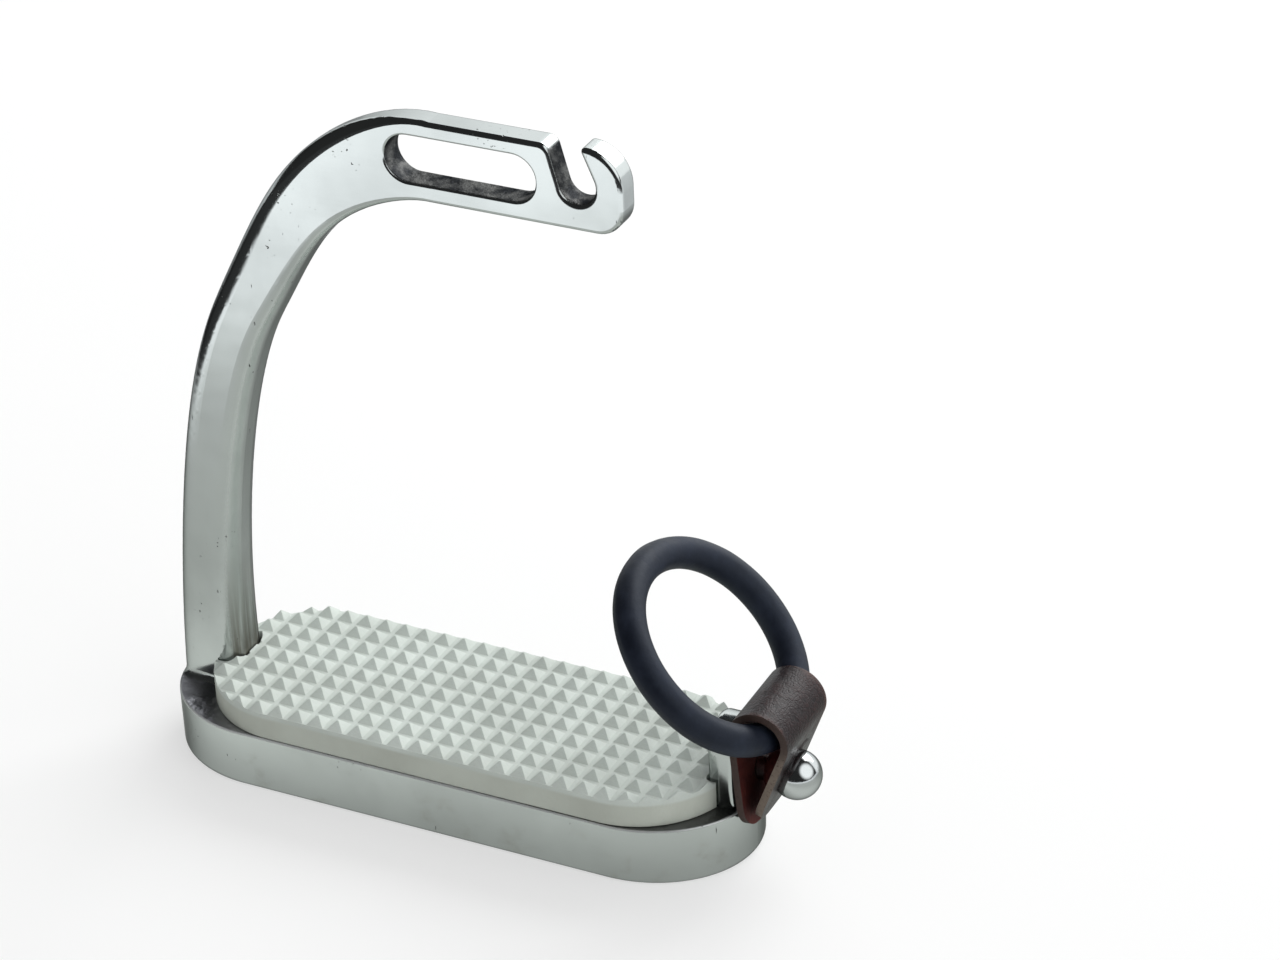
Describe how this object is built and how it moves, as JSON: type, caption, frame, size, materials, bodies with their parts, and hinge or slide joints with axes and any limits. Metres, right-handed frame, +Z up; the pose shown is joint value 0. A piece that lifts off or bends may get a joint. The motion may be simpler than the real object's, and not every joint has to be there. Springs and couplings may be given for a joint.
{
  "type": "stirrup iron",
  "caption": "Quick-release stirrup iron, open on one side, with a leather eye and hook above, a studded rubber tread, and a rubber ring held by a leather tab on a ball stud.",
  "frame": {"origin": "centre of the flat underside of the base", "axes": "+X along the base, from the leg towards the open end with the stud; +Y across the base; +Z up, towards the eye for the stirrup leather"},
  "size_m": [0.1438, 0.0472, 0.15],
  "materials": {
    "polished_steel": "polished stainless steel casting with light wear",
    "stud_steel": "mirror polished",
    "tread_rubber": "matt pale grey rubber, slightly dirty",
    "tab_leather": "dark brown waxed leather, reddish inside",
    "ring_rubber": "matt blue-black rubber"
  },
  "bodies": {
    "frame": {"iron_frame": "polished_steel", "tread_pad": "tread_rubber", "ball_stud": "stud_steel"},
    "tab": {"leather_tab": "tab_leather"},
    "ring": {"rubber_ring": "ring_rubber"}
  },
  "joints": [
    {"name": "tab_swivel", "type": "hinge", "parent": "frame", "child": "tab", "pos_m": [0.0738, 0, 0.0205], "axis": [1, 0, 0], "range_deg": [-20, 20]},
    {"name": "ring_swing", "type": "hinge", "parent": "tab", "child": "ring", "pos_m": [0.06975, 0, 0.0326], "axis": [0, 1, 0], "range_deg": [-45, 180]}
  ]
}
